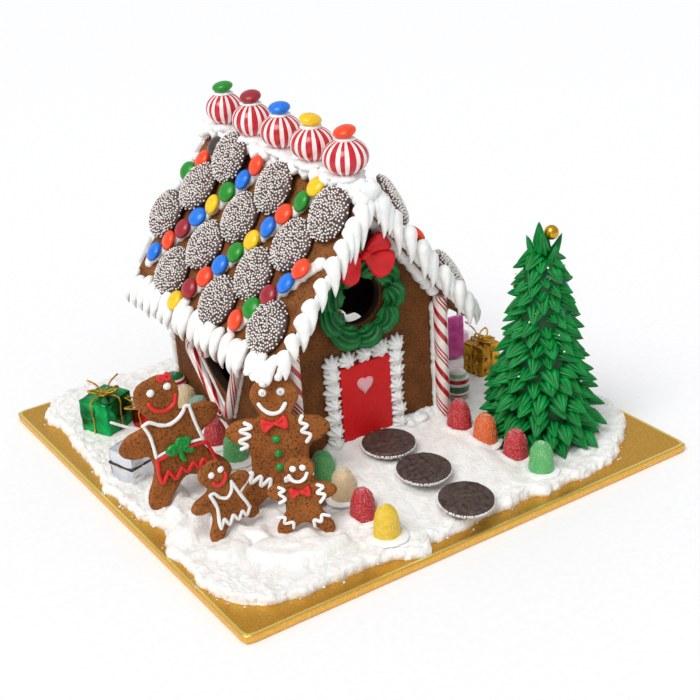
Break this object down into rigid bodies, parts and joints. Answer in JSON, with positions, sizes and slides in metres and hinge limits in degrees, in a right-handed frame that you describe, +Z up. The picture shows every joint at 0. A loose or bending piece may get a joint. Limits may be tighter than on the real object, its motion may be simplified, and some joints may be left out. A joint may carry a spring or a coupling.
{
  "type": "gingerbread house",
  "caption": "Gingerbread house on a square gold cake board, with an icing snowscape, candy-covered roof, cookie figures, piped tree, small gifts and a path.",
  "frame": {"origin": "centre of the board's underside", "axes": "+Z up, -Y the side with the door, +X to the right when facing the door"},
  "size_m": [0.3556, 0.3556, 0.2355],
  "materials": {
    "gold_foil": "embossed gold foil over card",
    "royal_icing": "set royal icing, matte",
    "gingerbread": "baked gingerbread, dry",
    "gingerbread_figures": "baked gingerbread, dry",
    "nonpareil_chocolate": "dark chocolate, satin",
    "peppermint": "boiled sugar, glossy",
    "red_fondant": "rolled fondant, satin",
    "green_icing": "piped buttercream, satin",
    "gumdrop_sugar": "sugared jelly",
    "green_foil": "metallic foil",
    "silver_foil": "metallic foil",
    "gift_gold_foil": "metallic foil",
    "pink_wrapper": "glossy wrapper"
  },
  "bodies": {
    "root": {"board": "gold_foil", "bow": "red_fondant", "cane_left_back": "peppermint", "cane_left_front": "peppermint", "cane_right_back": "peppermint", "cane_right_front": "peppermint", "cookie_boy": "gingerbread_figures", "cookie_father": "gingerbread_figures", "cookie_girl": "gingerbread_figures", "cookie_mother": "gingerbread_figures", "corner_stick_left": "peppermint", "corner_stick_right": "peppermint", "door": "red_fondant", "door_border": "royal_icing", "gift_gold": "gift_gold_foil", "gift_green": "green_foil", "gift_silver": "silver_foil", "gumdrop_01": "gumdrop_sugar", "gumdrop_02": "gumdrop_sugar", "gumdrop_03": "gumdrop_sugar", "gumdrop_04": "gumdrop_sugar", "gumdrop_05": "gumdrop_sugar", "gumdrop_06": "gumdrop_sugar", "gumdrop_07": "gumdrop_sugar", "gumdrop_08": "gumdrop_sugar", "gumdrop_09": "gumdrop_sugar", "gumdrop_10": "gumdrop_sugar", "gumdrop_11": "gumdrop_sugar", "gumdrop_12": "gumdrop_sugar", "icicles_left": "royal_icing", "icicles_right": "royal_icing", "nonpareils_left_1": "nonpareil_chocolate", "nonpareils_left_2": "nonpareil_chocolate", "nonpareils_left_3": "nonpareil_chocolate", "nonpareils_left_4": "nonpareil_chocolate", "nonpareils_right_1": "nonpareil_chocolate", "nonpareils_right_2": "nonpareil_chocolate", "nonpareils_right_3": "nonpareil_chocolate", "nonpareils_right_4": "nonpareil_chocolate", "packet_pink": "pink_wrapper", "peppermint_1": "peppermint", "peppermint_2": "peppermint", "peppermint_3": "peppermint", "peppermint_4": "peppermint", "peppermint_5": "peppermint", "ridge_icing": "royal_icing", "roof_left": "gingerbread", "roof_right": "gingerbread", "snow": "royal_icing", "stepping_disc_1": "nonpareil_chocolate", "stepping_disc_2": "nonpareil_chocolate", "stepping_disc_3": "nonpareil_chocolate", "striped_candy_left": "peppermint", "striped_candy_right": "peppermint", "tree": "green_icing", "wall_back": "gingerbread", "wall_front": "gingerbread", "wall_left": "gingerbread", "wall_right": "gingerbread", "wreath": "green_icing"}
  },
  "joints": []
}
